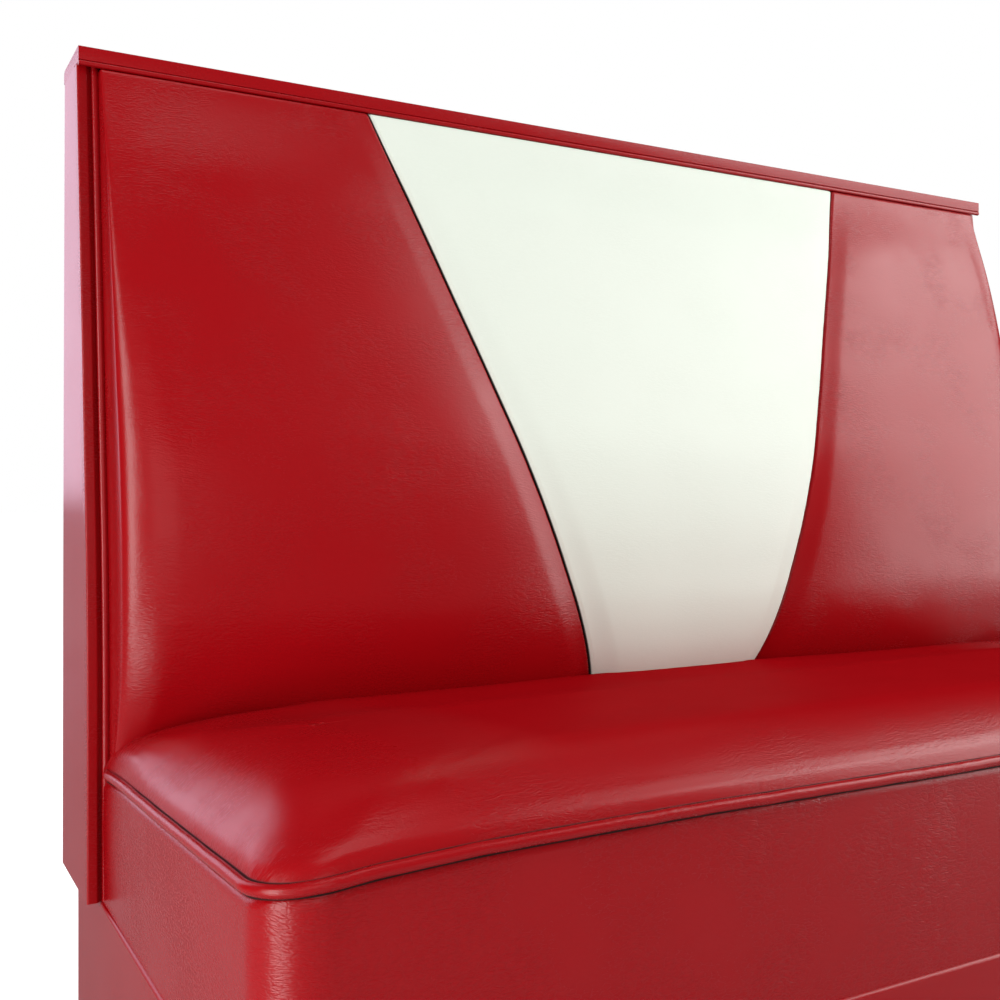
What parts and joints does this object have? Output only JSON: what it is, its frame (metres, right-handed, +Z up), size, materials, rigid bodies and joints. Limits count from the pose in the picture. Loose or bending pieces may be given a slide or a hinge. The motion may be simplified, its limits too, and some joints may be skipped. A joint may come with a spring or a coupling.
{
  "type": "restaurant booth bench",
  "caption": "Upholstered restaurant booth bench with a crowned, piped seat cushion, a tall padded back with a V-shaped centre panel, a flat cap and a boxed base on a recessed toe kick.",
  "frame": {"origin": "on the floor, in the middle of the booth's width and depth", "axes": "+X to the right of a person who faces the booth, +Y from the seat's front to the back's rear, +Z up"},
  "size_m": [1.219, 0.61, 1.067],
  "materials": {
    "red_vinyl": "semi-gloss grained vinyl",
    "cream_vinyl": "semi-gloss grained vinyl",
    "plywood": "bare sanded",
    "black_laminate": "matte",
    "foam": "open-cell foam",
    "felt": "needled felt",
    "steel": "zinc plated",
    "nylon": "matte moulded"
  },
  "bodies": {
    "root": {"back_brackets": "steel", "back_end_left": "plywood", "back_end_right": "plywood", "back_rail_bottom": "plywood", "back_rail_middle": "plywood", "back_rail_top": "plywood", "base_divider": "plywood", "base_end_left": "plywood", "base_end_right": "plywood", "base_floor": "plywood", "base_front_panel": "plywood", "base_posts": "plywood", "base_rear_panel": "plywood", "base_wrap": "red_vinyl", "bracket_screws": "steel", "cap_bead": "red_vinyl", "cap_board": "plywood", "cap_cover": "red_vinyl", "end_strip_left": "red_vinyl", "end_strip_right": "red_vinyl", "glide_blocks": "plywood", "kick_front": "black_laminate", "kick_left": "black_laminate", "kick_rear": "black_laminate", "kick_right": "black_laminate", "outside_back_board": "plywood", "outside_back_cover": "red_vinyl", "pad_board_centre": "plywood", "pad_board_left": "plywood", "pad_board_right": "plywood", "pad_cover_centre": "cream_vinyl", "pad_cover_left": "red_vinyl", "pad_cover_right": "red_vinyl", "pad_foam_centre": "foam", "pad_foam_left": "foam", "pad_foam_right": "foam", "pad_screws": "steel", "seat_bolts": "steel", "seat_boxing": "red_vinyl", "seat_corner_blocks": "plywood", "seat_rail_front": "plywood", "seat_rail_left": "plywood", "seat_rail_rear": "plywood", "seat_rail_right": "plywood", "seat_slab": "foam", "seat_springs": "steel", "seat_top_panel": "red_vinyl", "seat_topper": "foam", "seat_welt": "red_vinyl", "spring_clips": "steel", "spring_insulator": "felt", "tee_nuts": "steel"},
    "glide_front_left": {"glide_foot_front_left": "nylon", "glide_stem_front_left": "steel"},
    "glide_front_right": {"glide_foot_front_right": "nylon", "glide_stem_front_right": "steel"},
    "glide_rear_left": {"glide_foot_rear_left": "nylon", "glide_stem_rear_left": "steel"},
    "glide_rear_right": {"glide_foot_rear_right": "nylon", "glide_stem_rear_right": "steel"}
  },
  "joints": [
    {"name": "level_front_left", "type": "slide", "parent": "root", "child": "glide_front_left", "axis": [0, 0, -1], "range_m": [0, 0.01]},
    {"name": "level_front_right", "type": "slide", "parent": "root", "child": "glide_front_right", "axis": [0, 0, -1], "range_m": [0, 0.01]},
    {"name": "level_rear_left", "type": "slide", "parent": "root", "child": "glide_rear_left", "axis": [0, 0, -1], "range_m": [0, 0.01]},
    {"name": "level_rear_right", "type": "slide", "parent": "root", "child": "glide_rear_right", "axis": [0, 0, -1], "range_m": [0, 0.01]}
  ]
}
